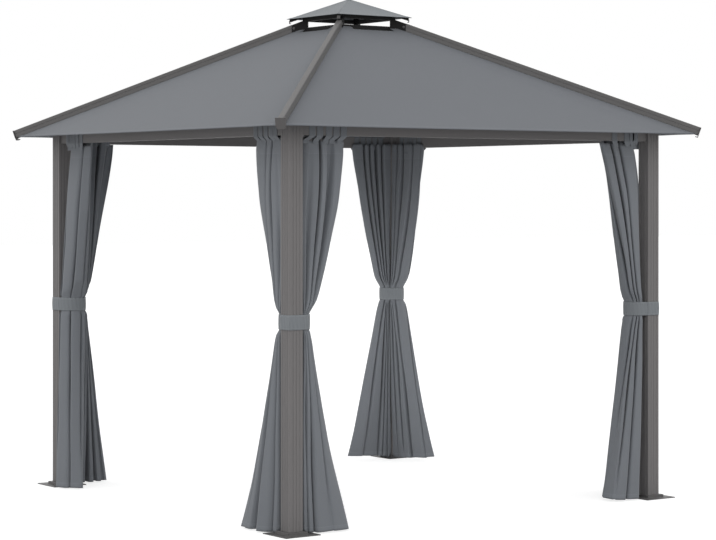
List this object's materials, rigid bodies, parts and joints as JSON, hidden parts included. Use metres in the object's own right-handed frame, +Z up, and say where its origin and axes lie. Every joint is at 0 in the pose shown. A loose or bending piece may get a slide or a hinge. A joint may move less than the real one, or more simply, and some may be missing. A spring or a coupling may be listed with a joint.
{
  "type": "metal gazebo",
  "caption": "Square garden gazebo with grooved metal posts, a two-tier fabric roof held by proud hip rails, and curtains hung on the beams and tied back to the posts.",
  "frame": {"origin": "on the ground, under the middle of the roof", "axes": "+Z up, -Y towards the front side, +X to the right as seen from the front"},
  "size_m": [3.0396, 3.0396, 3.0005],
  "materials": {
    "frame_metal": "brown-grey matt powder coat",
    "base_metal": "brown-grey matt powder coat",
    "cap_metal": "brown-grey matt powder coat",
    "roof_fabric": "mid grey woven polyester, slightly coated",
    "curtain_fabric": "mid grey woven polyester, soft"
  },
  "bodies": {
    "root": {"front_left_post": "frame_metal", "front_left_base_plate": "base_metal", "front_left_rail_bracket": "base_metal", "front_left_hip_rail": "frame_metal", "front_left_rail_end_cap": "cap_metal", "front_left_tie_back": "curtain_fabric", "front_right_post": "frame_metal", "front_right_base_plate": "base_metal", "front_right_rail_bracket": "base_metal", "front_right_hip_rail": "frame_metal", "front_right_rail_end_cap": "cap_metal", "front_right_tie_back": "curtain_fabric", "back_right_post": "frame_metal", "back_right_base_plate": "base_metal", "back_right_rail_bracket": "base_metal", "back_right_hip_rail": "frame_metal", "back_right_rail_end_cap": "cap_metal", "back_right_tie_back": "curtain_fabric", "back_left_post": "frame_metal", "back_left_base_plate": "base_metal", "back_left_rail_bracket": "base_metal", "back_left_hip_rail": "frame_metal", "back_left_rail_end_cap": "cap_metal", "back_left_tie_back": "curtain_fabric", "front_beam": "frame_metal", "front_canopy": "roof_fabric", "front_curtain_left": "curtain_fabric", "front_curtain_right": "curtain_fabric", "right_beam": "frame_metal", "right_canopy": "roof_fabric", "right_curtain_left": "curtain_fabric", "right_curtain_right": "curtain_fabric", "back_beam": "frame_metal", "back_canopy": "roof_fabric", "back_curtain_left": "curtain_fabric", "back_curtain_right": "curtain_fabric", "left_beam": "frame_metal", "left_canopy": "roof_fabric", "left_curtain_left": "curtain_fabric", "left_curtain_right": "curtain_fabric", "crown_posts": "frame_metal", "crown_lower_ring": "frame_metal", "crown_upper_ring": "frame_metal", "top_rails": "frame_metal", "top_rail_hooks": "cap_metal", "top_hub": "base_metal", "top_canopy": "roof_fabric", "finial": "cap_metal"}
  },
  "joints": []
}
